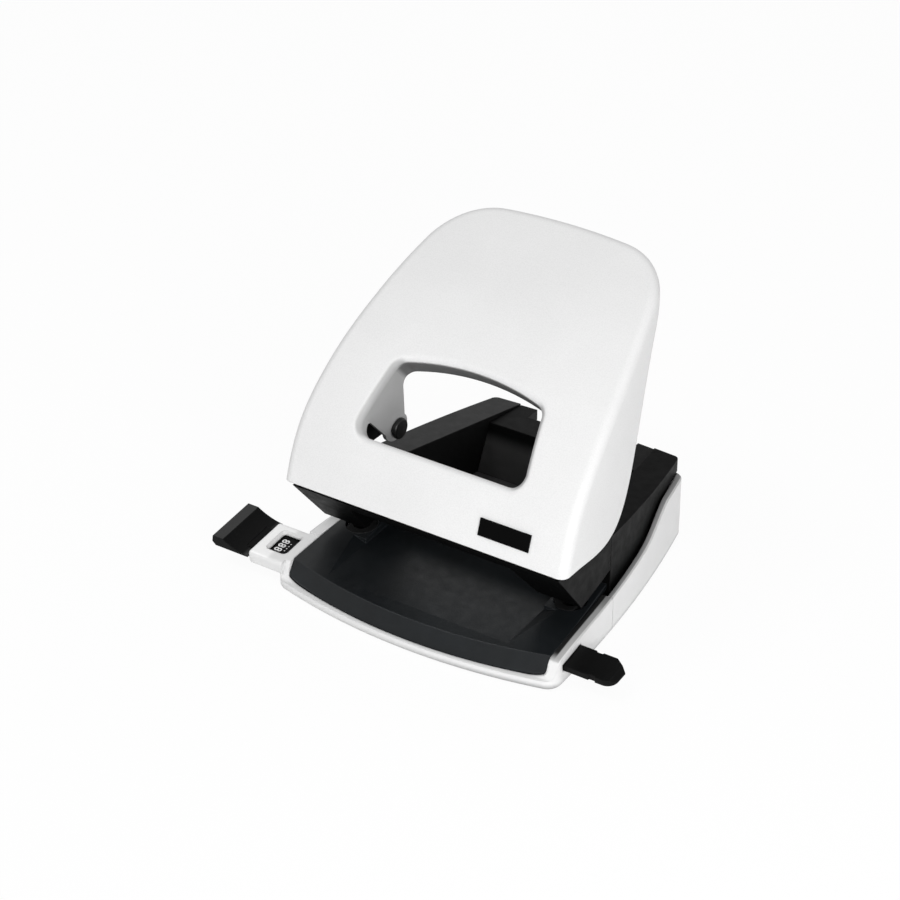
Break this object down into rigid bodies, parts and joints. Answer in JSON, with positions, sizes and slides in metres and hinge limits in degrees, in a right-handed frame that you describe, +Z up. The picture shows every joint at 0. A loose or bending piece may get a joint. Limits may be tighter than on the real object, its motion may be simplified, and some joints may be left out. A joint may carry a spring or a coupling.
{
  "type": "two-hole paper punch",
  "caption": "Desk paper punch: a white steel hood handle with a window presses sprung punches through a paper slot in a low base with a sliding guide bar and a hinged chip cover.",
  "frame": {"origin": "on the table under the middle of the base, where the flat underside rests", "axes": "+X to the right along the guide bar, +Y to the back, +Z up from the table"},
  "size_m": [0.1494, 0.1113, 0.1085],
  "materials": {
    "white_paint": "satin",
    "white_plastic": "satin",
    "black_plastic": "matte",
    "dark_plastic": "matte",
    "steel": "satin",
    "dark_steel": "satin"
  },
  "bodies": {
    "base": {"front_frame": "white_plastic", "base_shell": "white_plastic", "cover_hinge_pin": "steel", "paper_table": "black_plastic", "bar_channel": "dark_plastic", "jaw_cover": "black_plastic", "right_arm_cover": "black_plastic", "left_arm_cover": "black_plastic", "well_tray": "black_plastic", "right_side_frame": "steel", "left_side_frame": "steel", "right_guide_block": "steel", "left_guide_block": "steel", "right_die": "steel", "left_die": "steel", "pivot_axle": "steel", "right_axle_clip": "steel", "left_axle_clip": "steel", "right_spring": "steel", "left_spring": "steel"},
    "handle_body": {"handle": "white_paint", "badge_plate": "black_plastic", "right_hinge_lug": "steel", "left_hinge_lug": "steel", "right_drive_pin": "dark_steel", "left_drive_pin": "dark_steel"},
    "right_punch_body": {"right_punch": "steel", "right_yoke": "dark_steel"},
    "left_punch_body": {"left_punch": "steel", "left_yoke": "dark_steel"},
    "guide_body": {"guide_bar": "black_plastic", "end_stop": "black_plastic"},
    "cover_body": {"bottom_cover": "dark_plastic"}
  },
  "joints": [
    {"name": "handle_press", "type": "hinge", "parent": "base", "child": "handle_body", "pos_m": [0, -0.033, 0.036], "axis": [-1, 0, 0], "range_deg": [0, 25], "stiffness_Nm_per_rad": 1.2, "springref_deg": -20.05},
    {"name": "right_punch_slide", "type": "slide", "parent": "base", "child": "right_punch_body", "axis": [0, 0, -1], "range_m": [0, 0.00945], "deforming": ["right_spring"]},
    {"name": "left_punch_slide", "type": "slide", "parent": "base", "child": "left_punch_body", "axis": [0, 0, -1], "range_m": [0, 0.00945], "deforming": ["left_spring"]},
    {"name": "guide_slide", "type": "slide", "parent": "base", "child": "guide_body", "axis": [-1, 0, 0], "range_m": [0, 0.08]},
    {"name": "cover_open", "type": "hinge", "parent": "base", "child": "cover_body", "pos_m": [0, 0.045, 0.0032], "axis": [1, 0, 0], "range_deg": [0, 90]}
  ],
  "couplings": [
    {"joint": "right_punch_slide", "follows": "handle_press", "m_per_rad": 0.02141},
    {"joint": "left_punch_slide", "follows": "handle_press", "m_per_rad": 0.02141}
  ]
}
